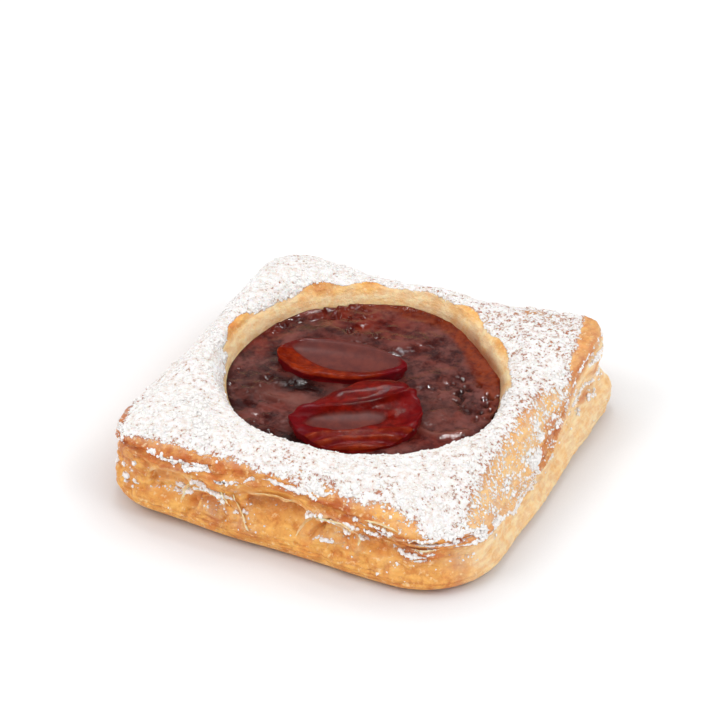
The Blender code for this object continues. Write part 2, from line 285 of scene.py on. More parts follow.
# %% Hollows
# Each hollow: its side, its middle along the side, the top of its mouth, half its length, its height, its
# depth and how far its mouth arches down at the ends, as a share of its height.
HOLLOWS = [
    ("front", -30.0, 16.6, 7.0, 5.8, 2.3, 0.45), ("front", -20.6, 13.6, 6.0, 6.4, 2.6, 0.80),
    ("front", 0.6, 15.6, 10.4, 6.0, 2.6, 0.15), ("front", 14.2, 14.8, 6.0, 5.6, 2.4, 0.5),
    ("front", 31.5, 14.6, 9.5, 3.2, 2.2, 0.1), ("right", 33.0, 15.0, 5.0, 4.0, 1.4, 0.3),
    ("back", 12.0, 14.0, 9.0, 4.0, 1.6, 0.3), ("back", -22.0, 12.0, 6.0, 4.0, 1.3, 0.5),
    ("left", 15.0, 13.5, 9.0, 3.6, 1.5, 0.3),
]
jitter = 0.5 * soft_noise(spots, (4, 4, 40), 17) + 0.25 * soft_noise(spots, (1.6, 1.6, 40), 18)
burnt, floor_of_hollow, lit_lip = np.zeros((3, len(x)))
for where, middle, mouth, half_length, height, depth, arch in HOLLOWS:
    along, facing = SIDES[where]
    share = np.abs(along - middle) / half_length
    below = (mouth - arch * height * share ** 2.5 - z + jitter) / height
    seen = smooth_step(0.5, 0.75, facing) * smooth_step(1.0, 0.85, share) * side
    relief -= seen * depth * smooth_step(-0.03, 0.10, below) * smooth_step(1.0, 0.35, below)
    relief += seen * 0.8 * bell(below + 0.16, 0.12)
    # Painted shade: a dark band just under each mouth, where the overhang shades the hollow.
    burnt = np.maximum(burnt, seen * bell(below - 0.12, 0.15))
    # Painted highlight: a pale band on the lip above each mouth.
    lit_lip = np.maximum(lit_lip, seen * bell(below + 0.17, 0.10))
    inside = smooth_step(0.12, 0.35, below) * smooth_step(1.05, 0.7, below)
    floor_of_hollow = np.maximum(floor_of_hollow, seen * inside)
print("hollows:", len(HOLLOWS), "with", int((floor_of_hollow > 0.5).sum()), "vertices inside")

# %% Ledges
# Each ledge: its side, where it starts and ends along the side, its height at both ends, and how far it
# stands out.
LEDGES = [
    ("front", -38.0, 19.0, 19.4, 21.0, 0.8), ("front", 24.0, 42.0, 10.2, 11.6, 0.9),
    ("front", 24.0, 41.0, 17.4, 16.4, 0.6), ("right", -46.0, 2.0, 13.4, 8.4, 1.3),
    ("right", 2.0, 44.0, 9.0, 10.4, 0.8), ("back", -44.0, 20.0, 17.0, 18.0, 0.8),
    ("back", -46.0, 46.0, 4.0, 4.0, 0.4), ("left", -44.0, 44.0, 17.6, 18.2, 0.9),
]
broken = 0.35 + 0.65 * smooth_step(-0.5, 0.1, soft_noise(spots, (5, 5, 60), 19))
for where, start, end, height_start, height_end, out in LEDGES:
    along, facing = SIDES[where]
    share = (along - start) / (end - start)
    below = height_start + (height_end - height_start) * share - z + jitter
    seen = smooth_step(0.5, 0.8, facing) * smooth_step(0, 0.06, share) * smooth_step(1, 0.94, share)
    fall = np.exp(-np.maximum(below, 0) / 1.6)
    relief += seen * side * broken * out * smooth_step(-0.25, 0.25, below) * fall
print("ledges:", len(LEDGES))

# %% Bubbles, and the grain of the top
# The lifted corner's bubbles and the broken one at the front, whose thin raised rim runs round a pit: middle
# along the side and height, and half the length and height.
CORNER_BUBBLE = (37.0, 18.4), (3.4, 2.6)
CORNER_FOLD = (32.0, 13.4), (5.0, 0.9)
BROKEN_BUBBLE = (14.0, 11.0), (8.4, 6.0)
corner = side * (x > 44)
relief += corner * (1.3 * patch(y, z, *CORNER_BUBBLE) + 0.8 * patch(y, z, *CORNER_FOLD))
(rim_x, rim_z), (rim_length, rim_height) = BROKEN_BUBBLE
rim_place = np.hypot((x - rim_x) / rim_length, (z - rim_z) / rim_height)
rim = side * bell(rim_place - 1, 0.10) * smooth_step(0.5, 0.8, -normals[:, 1]) * smooth_step(7.0, 10.0, z)
relief += 1.2 * rim
# The top: broad swells, small flakes lifted by steam, and a grain.
relief += top * (0.45 * rough_noise(spots, (9, 9, 9), 21, 2) + 0.3 * soft_noise(spots, (2.8, 2.8, 2.8), 24))
relief += top * 0.16 * soft_noise(spots, (1.2, 1.2, 1.2), 27)
relief += wall * 0.2 * rough_noise(spots, (6, 6, 4), 31, 2)
relief *= smooth_step(0.1, 1.2, z)
displace(crust, places, normals, relief)
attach(crust, "root")
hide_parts("pastry")
print("crust:", len(crust.data.polygons), "faces, relief", span(relief))

# %% [markdown]
# ## Where the sugar lies and where the oven browned
# Sugar sifted from above stays on what faces up, thins towards the edges and leaves the window's back rim
# bare. A thick line of it stays on the lid's front edge and another on the lower edge of the right side, the
# hem, and some fell into the hollows. None stays on what hangs over. Heat browns what stands out, and leaves
# the window's wall and the lower right side pale. The jam stains the wall where it boiled up. Light is
# painted
# in too: painted shade under the hollows' mouths, in the creases and between the sugar grains, and a painted
# highlight on the hollows' lips. Painting these by hand would give an image. Here each is one number a
# vertex, worked out from place and slope, so one material can draw crust and sugar together.

# %% Sugar on the lid
# Where the sifting was thinner, and where the window's back rim browned most: weight, middle and spread.
THIN_SUGAR = [
    (0.22, 30, 38, 26, 20), (0.20, 45, 0, 8, 24), (0.34, 20, -47, 14, 4),
    (0.50, -25, -49.2, 22, 3.2), (0.20, -44, 46, 9, 8), (0.12, 42, -30, 8, 12),
]
GOLDEN = [(1, -29, 31, 9, 5), (1, -18, 38, 4, 4), (1, -40, 5, 4, 6), (0.8, 12, 37, 5, 4), (0.9, 26, 26, 5, 7)]
places, normals = read_vertices(crust)
spots = places / MM
x, y, z = spots.T
drift = soft_noise(spots, (9, 9, 9), 41)
speckle = soft_noise(spots, (3.5, 3.5, 3.5), 44)
# The lifted flap at the back right corner stays bare.
from_flap = x - 39.4 - 0.26 * (49 - y)
flap = smooth_step(0.0, 2.2, from_flap + 1.5 * speckle) * smooth_step(14, 20, y) * smooth_step(12, 18, z)
cover = 0.90 + 0.10 * drift + 0.10 * speckle - patches(x, y, THIN_SUGAR) - 0.9 * flap
cover += 0.22 * speckle * patch(x, y, (26, -42), (24, 9))
cover -= 0.42 * smooth_step(-44.5, -48.5, y + 1.6 * speckle) * smooth_step(6, 16, x)
cover -= 0.42 * smooth_step(40.5, 47.5, x + 1.8 * speckle) * smooth_step(24, 12, y)
cover -= 0.45 * smooth_step(5.0, 1.0, from_edge - 1.5 * drift) * smooth_step(-20, -40, y)
right_tilt = 0.35 * smooth_step(30, 42, x) * smooth_step(-44, -34, y)
left_corner = smooth_step(-28, -38, x) * smooth_step(-40, -30, y)
up_facing = smooth_step(0.25, 0.72, normals[:, 2] + right_tilt)
up_facing = np.maximum(up_facing, smooth_step(-0.1, 0.35, normals[:, 2]) * left_corner)
sugar = np.clip(cover, 0, 1) * up_facing
golden = np.clip(patches(x, y, GOLDEN), 0, 1)
bare_width = -0.5 + 2.6 * golden + 1.2 * patch(x, y, (-38, 8), (6, 10)) + 0.5 * speckle
from_rim = from_window + 1.0 * speckle + 0.8 * drift
sugar *= 1 - smooth_step(-18, 2, y - 0.35 * x) * smooth_step(1.0, 0.0, from_rim - bare_width)
sugar *= smooth_step(-0.4, 0.8, from_window) * smooth_step(-3.5, -1.0, z - lip)
powdered_wall = wall * (1 - smooth_step(-2.5, 2.5, y - 0.23 * x - 4.4 + 1.2 * speckle))
sugar = np.maximum(sugar, 0.95 * powdered_wall * smooth_step(20.5, 22.0, z + 0.6 * speckle))
print("lid: mean cover", round(float(sugar[top > 0.5].mean()), 2))

# %% Sugar on the front edge and the hem
# The line on the lid's front edge: how far along, its height and half its width.
FRONT_LINE = np.array([
    (-37.0, 21.4, 0.1), (-35.2, 21.2, 0.9), (-31.8, 20.8, 0.9), (-30.6, 20.6, 0.1), (-29.5, 20.3, 1.0),
    (-25.0, 20.1, 1.2), (-19.6, 20.7, 0.8), (-18.0, 20.0, 0.1), (-16.8, 19.0, 0.6), (-14.8, 18.4, 1.0),
    (-10.3, 18.9, 1.0), (-8.6, 20.2, 0.2), (-6.9, 21.2, 0.5), (-0.7, 21.9, 0.7), (1.0, 21.6, 0.2),
    (2.3, 21.2, 0.7), (7.0, 21.6, 0.9), (16.1, 21.9, 0.8), (19.4, 22.2, 0.2),
]).T
# The hem: how far along the right side, and its height.
HEM = np.array([
    (-46.0, 16.4), (-40.6, 15.7), (-34.5, 13.7), (-27.2, 12.2), (-19.0, 9.6), (-10.0, 7.4),
    (-6.0, 8.2), (-2.0, 12.0), (3.0, 16.0), (7.0, 18.5), (14.0, 19.5),
]).T
ledge = side * smooth_step(0.15, 0.5, normals[:, 2]) * smooth_step(7.0, 10.0, z)
ledge *= smooth_step(-0.9, 0.1, relief)
ledge *= 1 - 0.9 * smooth_step(2, 14, y) * (x < 45)
ledge *= 1 - 0.85 * (y < -40) * (x < 20) * smooth_step(16.0, 17.5, z)
line_height, line_half = (np.interp(x - SHIFT[0], FRONT_LINE[0], values) for values in FRONT_LINE[1:])
off_line = np.abs(z - line_height + 0.6 * jitter) / line_half
off_line += 0.9 * smooth_step(-0.1, 0.6, soft_noise(spots, (2.0, 2.0, 1.4), 47))
front_line = smooth_step(1.15, 0.75, off_line) * smooth_step(-38, -36, x) * smooth_step(20, 18, x)
front_line *= smooth_step(0.1, 0.5, -normals[:, 1]) * (y < -40) * smooth_step(-0.8, -0.2, speckle)
hem = np.interp(y, HEM[0], HEM[1])
off_hem = np.abs(z - hem + 1.2 * jitter) / (0.5 + 0.9 * smooth_step(-0.3, 0.5, speckle))
hem_line = smooth_step(1.2, 0.7, off_hem) * smooth_step(0.1, 0.5, normals[:, 0]) * (x > 40)
hem_line *= smooth_step(-47, -43, y) * smooth_step(12, 5, y)
right_slope = smooth_step(42, 47, x) * smooth_step(-47, -42, y) * smooth_step(26, 16, y)
right_slope *= smooth_step(-0.8, 0.8, z - hem)
slope_cover = (0.50 + 0.14 * smooth_step(-10, -4, y)) * (0.75 + 0.5 * speckle)
sugar = np.maximum(sugar, slope_cover * right_slope)
ledge = np.maximum(np.maximum(ledge, hem_line) * smooth_step(-0.6, 0.0, speckle), front_line)
sugar = np.maximum(sugar, 0.95 * ledge)
print("vertices on sugared ledges:", int((ledge > 0.5).sum()))

# %% Fallen sugar
# Each heap in the front's hollows and at the lifted corner: middle along the side and height, and half the
# length and height.
FRONT_HEAPS = [
    (-1.0, 9.6, 5.5, 1.4), (-18.5, 8.6, 4.5, 1.6), (-28.0, 11.6, 2.6, 1.4), (4.0, 8.0, 1.6, 1.2),
    (16.6, 10.8, 3.4, 2.2), (26.6, 9.4, 1.8, 1.6), (31.5, 10.4, 3.6, 1.3), (38.0, 11.0, 2.4, 0.9),
    (-13.0, 16.2, 3.0, 1.0), (-35.0, 13.0, 2.0, 1.0),
]
CORNER_HEAPS = [(36.0, 15.0, 2.8, 1.3), (38.0, 10.6, 1.8, 1.4), (32.5, 7.4, 1.4, 1.0)]
front_powder = 0.46 * side * (y < -40) * smooth_step(-0.5, 0.3, soft_noise(spots, (1.6, 1.6, 1.3), 48))
corner_powder = 0.75 * side * (x > 44) * smooth_step(-0.6, 0.2, soft_noise(spots, (1.6, 1.6, 1.3), 49))
for heaps, along, powder in ((FRONT_HEAPS, x, front_powder), (CORNER_HEAPS, y, corner_powder)):
    for middle, height, half_length, half_height in heaps:
        heap = patch(along, z, (middle, height), (half_length, half_height))
        sugar = np.maximum(sugar, powder * heap)
dust = side * smooth_step(-0.2, 0.3, normals[:, 2]) * smooth_step(3, 7, z)
dust *= smooth_step(-0.2, 0.8, drift + speckle)
sugar = np.maximum(sugar, 0.28 * dust) * smooth_step(-0.35, 0.05, normals[:, 2])
print("mean sugar on the sides:", round(float(sugar[side > 0.5].mean()), 3))

# %% Browning, pale dough and the jam's stain
# Burnt edges round the lifted corner's bubbles.
corner_burns = np.maximum(patch(y, z, (37.0, 18.6), (2.8, 1.8)), patch(y, z, (32.4, 12.2), (4.0, 0.9)))
burnt = np.maximum(burnt, 0.9 * side * (x > 44) * corner_burns)
# Where the jam boiled up against the wall: weight, middle and spread.
STAINED = [(1, 24, 28, 22, 20), (0.45, -34, 14, 8, 14)]
brown = 0.26 + 0.25 * drift + 0.55 * smooth_step(6, 0.5, from_edge) * smooth_step(-4.5, 0.0, z - lip)
brown -= 0.3 * smooth_step(4.0, 1.5, from_window)
brown += 0.35 * golden * smooth_step(4.0, 1.0, np.abs(from_window - 1.5))
brown -= right_slope * (0.45 + 0.40 * smooth_step(-12, -4, y))
# Browner where sugar lies thick: the baked top, and painted shade for the gaps between the sugar grains.
brown += 0.35 * flap + 0.6 * top * smooth_step(0.35, 0.8, sugar)
# Browner on what stands out, and painted shade in the creases where the swells meet.
brown += side * (0.22 * np.clip(relief, -0.8, 1.2) + 0.30 * smooth_step(0.22, 0.0, swell))
brown += side * 0.18 * np.maximum(lines, 0) * smooth_step(8, 4, z)
brown += (y < -40) * (0.25 * patch(x, z, (-45, 15), (6, 8)) + 0.35 * patch(x, z, (40, 12), (10, 4)))
pale = wall * (1 - 0.85 * golden * smooth_step(-1.2, 0.2, z - 24.6 + 0.6 * speckle))
under_lid = np.minimum(lip, np.where(y < 14, hem + 1.6, np.inf))
pale += 0.95 * smooth_step(30, 44, x) * smooth_step(-47, -34, y) * smooth_step(-1.0, -3.0, z - under_lid)
pale += flap * (0.20 + 0.5 * smooth_step(4.5, 8.0, from_flap)) + 0.40 * right_slope
# Pale dough at the bubble's rim, in the hollows and low down, and a painted highlight on the hollows' lips.
pale += 0.75 * lit_lip + 0.7 * rim + 0.2 * floor_of_hollow + 0.5 * smooth_step(2.8, 1.4, z) * side
over_jam = z - round_about(JAM_HEIGHT, angle) - 1.1 * soft_noise(spots, (4, 4, 4), 46)
stain = wall * smooth_step(3.2, 0.2, over_jam) * np.clip(patches(x, y, STAINED), 0, 1)
write_values(crust, sugar=sugar, brown=brown, pale=pale, stain=stain, burnt=burnt)

# %% [markdown]
# ## Materials as small node trees
# Food has no plain colours, so each material mixes a few by the values stored on the mesh and by fine noise
# read at the piece's own coordinates. Two effects are in nearly all of them, so each is a node group, built
# once and placed with its own values: mottle, soft patches for blending two tones, and grain, the fine uneven
# skin that breaks up a highlight.


# %% Node groups for mottle and grain
def new_group(name, numbers, output, output_type):
    """A node group that takes a vector and these numbers, with its noise already in place."""
    group = bpy.data.node_groups.new(name, "ShaderNodeTree")
    group.interface.new_socket("Vector", in_out="INPUT", socket_type="NodeSocketVector")
    for number in ("Scale", "Detail", "Roughness") + numbers:
        group.interface.new_socket(number, in_out="INPUT", socket_type="NodeSocketFloat")
    group.interface.new_socket(output, in_out="OUTPUT", socket_type=output_type)
    given = group.nodes.new("NodeGroupInput").outputs
    noise = group.nodes.new("ShaderNodeTexNoise")
    for socket in ("Vector", "Scale", "Detail", "Roughness"):
        group.links.new(given[socket], noise.inputs[socket])
    return group, given, noise.outputs["Fac"], group.nodes.new("NodeGroupOutput").inputs[output]


RAMP = ("From Min", "From Max", "To Min", "To Max")
MOTTLE, given, noise, result = new_group("mottle", RAMP, "Fac", "NodeSocketFloat")
mottle_ramp = MOTTLE.nodes.new("ShaderNodeMapRange")
mottle_ramp.interpolation_type = "SMOOTHSTEP"
MOTTLE.links.new(noise, mottle_ramp.inputs["Value"])
for socket in RAMP:
    MOTTLE.links.new(given[socket], mottle_ramp.inputs[socket])
MOTTLE.links.new(mottle_ramp.outputs[0], result)

GRAIN, given, noise, result = new_group("grain", ("Distance", "Strength"), "Normal", "NodeSocketVector")
grain_bump = GRAIN.nodes.new("ShaderNodeBump")
GRAIN.links.new(noise, grain_bump.inputs["Height"])
for socket in ("Distance", "Strength"):
    GRAIN.links.new(given[socket], grain_bump.inputs[socket])
GRAIN.links.new(grain_bump.outputs["Normal"], result)
print("groups:", [group.name for group in bpy.data.node_groups])


# %% Material helpers
class Paint:
    """A material, its shader and short ways to add nodes to it."""

    def __init__(self, name, **sockets):
        self.material = bpy.data.materials.new(name)
        self.material.use_nodes = True
        self.tree = self.material.node_tree
        self.shader = self.tree.nodes["Principled BSDF"]
        for socket, value in sockets.items():
            self.shader.inputs[socket.replace("_", " ")].default_value = value
        self.coordinates = self.tree.nodes.new("ShaderNodeTexCoord").outputs["Object"]

    def fill(self, socket, source):
        """A link if the source is another node's output, or else a set value."""
        if isinstance(source, bpy.types.NodeSocket):
            self.tree.links.new(source, socket)
        else:
            socket.default_value = source

    def plug(self, node, **sources):
        """Fills a node's inputs by their names."""
        for name, source in sources.items():
            self.fill(node.inputs[name.replace("_", " ")], source)

    def value(self, name, times=1.0):
        """A number stored on the mesh, weakened where times is below 1."""
        node = self.tree.nodes.new("ShaderNodeAttribute")
        node.attribute_name = name
        return node.outputs["Fac"] if times == 1.0 else self.sum("MULTIPLY", node.outputs["Fac"], times)

    def place(self, group, size_mm, detail, roughness, **sources):
        """One of the groups, with features of about this size, in millimetres."""
        node = self.tree.nodes.new("ShaderNodeGroup")
        node.node_tree = group
        self.plug(node, Vector=self.coordinates, Scale=1 / (size_mm * MM), Detail=detail, Roughness=roughness)
        self.plug(node, **sources)
        return node.outputs[0]

    def mottle(self, size_mm, low, high, to_low=0.0, to_high=1.0, detail=3.0, roughness=0.6):
        """Soft patches that run from one value to another."""
        ends = {"From_Min": low, "From_Max": high, "To_Min": to_low, "To_Max": to_high}
        return self.place(MOTTLE, size_mm, detail, roughness, **ends)

    def grain(self, size_mm, depth_mm, strength, detail=3.0, roughness=0.6):
        """A normal that shows an uneven skin too fine for the mesh."""
        return self.place(GRAIN, size_mm, detail, roughness, Distance=depth_mm * MM, Strength=strength)

    def noise(self, size_mm, detail=3.0, stretch=(1, 1, 1)):
        """Plain noise, for the crust's own effects."""
        mapping = self.tree.nodes.new("ShaderNodeMapping")
        self.plug(mapping, Vector=self.coordinates, Scale=[1 / (size_mm * MM * part) for part in stretch])
        node = self.tree.nodes.new("ShaderNodeTexNoise")
        self.plug(node, Vector=mapping.outputs["Vector"], Scale=1.0, Detail=detail, Roughness=0.6)
        return node.outputs["Fac"]

    def sum(self, operation, *sources, clamp=False):
        """One step of arithmetic."""
        node = self.tree.nodes.new("ShaderNodeMath")
        node.operation = operation
        node.use_clamp = clamp
        for source, socket in zip(sources, node.inputs):
            self.fill(socket, source)
        return node.outputs[0]

    def ramp(self, source, low, high, to_low=0.0, to_high=1.0):
        """A smooth ramp between two values of the source."""
        node = self.tree.nodes.new("ShaderNodeMapRange")
        node.interpolation_type = "SMOOTHSTEP"
        self.plug(node, Value=source, From_Min=low, From_Max=high, To_Min=to_low, To_Max=to_high)
        return node.outputs[0]

    def mix(self, share, first, second):
        """A blend of two colours."""
        node = self.tree.nodes.new("ShaderNodeMix")
        node.data_type = "RGBA"
        self.plug(node, Factor=share, A=first, B=second)
        return node.outputs["Result"]

    def bump(self, height, depth_mm, strength, below):
        """A normal that shows a height, laid over another normal."""
        node = self.tree.nodes.new("ShaderNodeBump")
        self.plug(node, Distance=depth_mm * MM, Strength=strength, Height=height, Normal=below)
        return node.outputs["Normal"]

    def finish(self, *pieces, **sources):
        """Links outputs to the shader's sockets and gives the material to the pieces."""
        self.plug(self.shader, **sources)
        for piece in pieces:
            piece.data.materials.append(self.material)
        print("material", self.material.name, "with", len(self.tree.nodes), "nodes")


def colour(red, green, blue):
    """A colour given as seen on a screen, from 0 to 255, in the linear values that light needs."""
    shares = [part / 255 for part in (red, green, blue)]
    return (*[share / 12.92 if share < 0.0425 else ((share + 0.055) / 1.055) ** 2.4 for share in shares], 1.0)


print("white in linear values:", colour(255, 255, 255))

# %% [markdown]
# ## Crust and sugar as one surface
# Where sugar is thick, nearly every grain-sized spot is white and a few brown ones show through. Where it is
# thin, it is the other way round. So grain-sized noise is compared with the stored cover. A faint even haze
# lies under the grains.

# %% Baked dough
paint = Paint("crust", Specular_IOR_Level=0.3, Subsurface_Weight=0.1, Subsurface_Scale=0.0015)
tones = paint.mottle(3.2, 0.36, 0.66, detail=5, roughness=0.65)
# Browning, with painted shade in the creases and between the sugar grains.
brown_share = paint.ramp(paint.sum("MULTIPLY_ADD", tones, 0.42, paint.value("brown")), 0.2, 1.25)
baked = paint.mix(brown_share, colour(254, 194, 104), colour(186, 88, 34))
baked = paint.mix(paint.sum("MULTIPLY", paint.mottle(6.5, 0.45, 0.75), 0.5), baked, colour(246, 146, 62))
baked = paint.mix(paint.mottle(2.1, 0.52, 0.70, 0.0, 0.55, detail=4), baked, colour(206, 112, 44))
dough = paint.mix(paint.mottle(3.0, 0.35, 0.7), colour(255, 230, 184), colour(252, 208, 146))
# Pale dough, and the painted highlight on the hollows' lips.
crust_colour = paint.mix(paint.value("pale"), baked, dough)
leaf_lines = paint.noise(1.6, 4, stretch=(2.4, 2.4, 0.7))
crust_colour = paint.mix(paint.ramp(leaf_lines, 0.60, 0.40, 0.0, 0.28), crust_colour, colour(214, 124, 50))
crust_colour = paint.mix(paint.mottle(1.2, 0.56, 0.70, 0.0, 0.6), crust_colour, colour(255, 226, 176))
# Painted shade under the hollows' mouths, and real burnt patches at the lifted corner, as one darker orange.
crust_colour = paint.mix(paint.value("burnt", times=0.9), crust_colour, colour(208, 112, 42))
crust_colour = paint.mix(paint.value("stain", times=0.85), crust_colour, colour(150, 62, 24))
print("baked dough:", len(paint.tree.nodes), "nodes")

# %% Sugar over it
cover = paint.value("sugar")
# Painted shade: the crust under thick sugar is darkened, so the gaps between the grains read as shaded.
crust_colour = paint.mix(paint.ramp(cover, 0.45, 0.8, 0.0, 0.6), crust_colour, colour(150, 66, 36))
lumps = paint.noise(1.5)
grain = paint.sum("MULTIPLY_ADD", paint.noise(0.7, 2), 0.55, paint.sum("MULTIPLY", lumps, 0.45))
needed = paint.ramp(cover, 0.0, 1.0, 0.68, 0.37)
grains = paint.sum("MULTIPLY_ADD", paint.sum("SUBTRACT", grain, needed), 12.0, 0.5, clamp=True)
grains = paint.sum("MULTIPLY", grains, paint.ramp(cover, 0.02, 0.12))
haze = paint.sum("MULTIPLY", cover, paint.mottle(4.0, 0.35, 0.7, 0.06, 0.42))
white = paint.sum("MAXIMUM", grains, haze)
sugar_tint = paint.mix(paint.ramp(lumps, 0.35, 0.6), colour(236, 224, 216), colour(250, 248, 247))
skin = paint.grain(1.1, 0.45, 0.9, detail=5, roughness=0.65)
skin = paint.bump(leaf_lines, 0.5, 0.6, skin)
skin = paint.bump(paint.sum("MULTIPLY", grains, grain), 0.55, 0.8, skin)
surface_colour = paint.mix(white, crust_colour, sugar_tint)
paint.finish(crust, Base_Color=surface_colour, Roughness=paint.ramp(white, 0.0, 1.0, 0.40, 0.95), Normal=skin)

# %% [markdown]
# ## The jam
# Jam sets with a wet, uneven skin: low swells, bubbles by the back wall, a field of dimples at the right
# where it boiled, smooth folds at the left, and an edge drawn up against the dough. The solid's copy is cut
# clear round the plums, where the jam should touch them. So the surface is built anew, as a fine round grid
# over the solid's own level, closed with a skirt and a floor.

# %% Where the jam has its marks
JAM_RINGS = 110
JAM_SPOKES = 360
WELL_FLOOR = 7.3
# The solid's vertices past this distance are on its rim, and the grid reaches a little farther, into the
# dough.
RIM_FROM, OVERLAP = 34.5, 0.55
# How far the skirt runs in under the edge.
UNDERCUT = 4.8
# Late boiling, low bumps, and a smooth pool with a raised rim on its front side.
BOILED = [(1, 26, 9, 10, 8), (0.7, 33, 4, 5, 6)]
BUMPY = [(1, -29, -8, 7, 9), (1, -19, -24, 9, 6)]
POOL, POOL_RADIUS = (23.0, -1.0), 8.5
FOLD_TURN = -0.25
# Bubbles by the back wall: place on the plan and radius.
BUBBLES = [
    (-22.8, 27.4, 1.4), (-27.5, 24.0, 1.1), (-33.0, 17.6, 0.9), (-15.8, 22.0, 0.8), (-8.1, 23.0, 0.9),
    (-15.4, 29.8, 0.6), (-12.7, 20.9, 0.6), (-30.0, 20.8, 0.6), (-25.2, 25.4, 0.5), (-9.9, 22.0, 0.5),
    (-34.0, 14.2, 0.6), (-18.6, 28.4, 0.5),
]


def flat_points(x, y):
    """Points on the plan, for noise that doesn't change with height."""
    return np.stack([x, y, np.zeros_like(x)], 1)


def jam_marks(x, y):
    """Dimples where the jam boiled late, and the rim of the pool."""
    boiled = np.clip(patches(x, y, BOILED), 0, 1)
    dimples = soft_noise(flat_points(x, y), (1.7, 1.2, 1.3), 66)
    from_pool = np.hypot(x - POOL[0], y - POOL[1]) / POOL_RADIUS
    return boiled, dimples, bell(from_pool - 1, 0.12) * smooth_step(-3.0, -6.0, y)


def solid_level(x, y, share, angle):
    """The height of the jam's top, as in the solid: its edge, low waves and the mound at the back."""
    level = round_about(JAM_HEIGHT, angle) * share ** 2 + 19.6 * (1 - share ** 2)
    u, v = x - SHIFT[0], y - SHIFT[1]
    waves = 0.35 * np.sin(0.31 * u + 0.9) * np.cos(0.27 * v - 0.4) + 0.2 * np.sin(0.6 * u - 0.5 * v)
    turn = math.radians(12)
    along = ((u + 12) * math.cos(turn) + (v - 20.5) * math.sin(turn)) / 14
    across = ((v - 20.5) * math.cos(turn) - (u + 12) * math.sin(turn)) / 4.5
    return level + (waves + 1.3 * np.exp(-(along ** 4) - across ** 2)) * (1 - share ** 4)


print("bubbles:", len(BUBBLES))

# %% The jam's grid and its level
solid = np.array([vertex.co for vertex in nodes["plum_jam"].data.vertices]) / MM
solid_turn = np.arctan2(solid[:, 1] - WINDOW[1], solid[:, 0] - WINDOW[0]) % (2 * math.pi)
solid_reach = np.hypot(solid[:, 0] - WINDOW[0], solid[:, 1] - WINDOW[1])
on_rim = solid_reach > RIM_FROM
order = np.argsort(solid_turn[on_rim])
turns = np.linspace(0, 2 * math.pi, JAM_SPOKES, endpoint=False)
rim_reach = solid_reach[on_rim][order]
reach = np.interp(turns, solid_turn[on_rim][order], rim_reach, period=2 * math.pi) + OVERLAP
shares = np.linspace(0, 1, JAM_RINGS + 1)[1:] ** 0.9
share, turn = (grid.ravel() for grid in np.meshgrid(shares, turns, indexing="ij"))
x = WINDOW[0] + np.tile(reach, JAM_RINGS) * share * np.cos(turn)
y = WINDOW[1] + np.tile(reach, JAM_RINGS) * share * np.sin(turn)
from_rim = np.tile(reach, JAM_RINGS) * (1 - share)
flat = flat_points(x, y)
boiled, dimples, pool_rim = jam_marks(x, y)
level = solid_level(x, y, share, np.arctan2(y, x) % (2 * math.pi))
level += 0.22 * rough_noise(flat, (7, 7, 7), 61, 2) + 0.10 * soft_noise(flat, (1.8, 1.4, 1.6), 63)
level -= boiled * 0.75 * smooth_step(0.1, 0.6, dimples)
level += np.clip(patches(x, y, BUMPY), 0, 1) * 0.80 * soft_noise(flat, (2.6, 1.8, 2.0), 72)
simmered = patch(x, y, (-16, 28), (20, 7)) * smooth_step(0.6, 3.0, from_rim)
level += simmered * 0.42 * soft_noise(flat, (2.2, 1.7, 2.0), 67)
along = x * math.cos(FOLD_TURN) + y * math.sin(FOLD_TURN)
across = y * math.cos(FOLD_TURN) - x * math.sin(FOLD_TURN)
level += patch(x, y, (-19, -11), (9, 6)) * 0.50 * soft_noise(flat_points(along, across), (9, 2.4, 9), 68)
# The rim of the pool, the hollow beside the back wedge, and the edge drawn up against the dough.
level += 0.55 * pool_rim - 0.7 * patch(x, y, (-16, -5), (8, 2.6))
level += np.exp(-from_rim / 0.9) * (0.5 + 0.25 * soft_noise(flat, (5, 5, 5), 70))
for bubble_x, bubble_y, radius in BUBBLES:
    away = np.hypot(x - bubble_x, y - bubble_y) / radius
    level += 0.9 * radius * np.sqrt(np.clip(1 - away ** 2, 0, 1)) - 0.3 * bell(away - 1.2, 0.25)
print("jam: top at", span(level))


# %% Jam mesh
def close_mesh(shape, name):
    """A mesh with the faces built so far."""
    mesh = bpy.data.meshes.new(name)
    shape.to_mesh(mesh)
    shape.free()
    return mesh


def jam_vertex(px, py, pz):
    """A new vertex of the jam, given in millimetres."""
    return shape.verts.new(Vector((px, py, pz)) * MM)


shape = bmesh.new()
top_points = np.stack([x, y, level], 1).reshape(JAM_RINGS, JAM_SPOKES, 3)
rings = [[jam_vertex(*point) for point in ring] for ring in top_points]
middle = jam_vertex(*WINDOW, level[:JAM_SPOKES].mean())
inset = WINDOW[:, None] + (reach - UNDERCUT) * np.array([np.cos(turns), np.sin(turns)])
skirt = [jam_vertex(px, py, WELL_FLOOR) for px, py in inset.T]
bottom = jam_vertex(*WINDOW, WELL_FLOOR)
for k in range(JAM_SPOKES):
    after = (k + 1) % JAM_SPOKES
    for inner, outer in zip(rings, rings[1:] + [skirt]):
        shape.faces.new((inner[k], outer[k], outer[after], inner[after]))
    shape.faces.new((middle, rings[0][k], rings[0][after]))
    shape.faces.new((bottom, skirt[after], skirt[k]))
jam = add_object("jam", close_mesh(shape, "jam"))
jam.data.shade_smooth()
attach(jam, "root")
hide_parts("plum_jam")
print("jam:", len(jam.data.polygons), "faces")

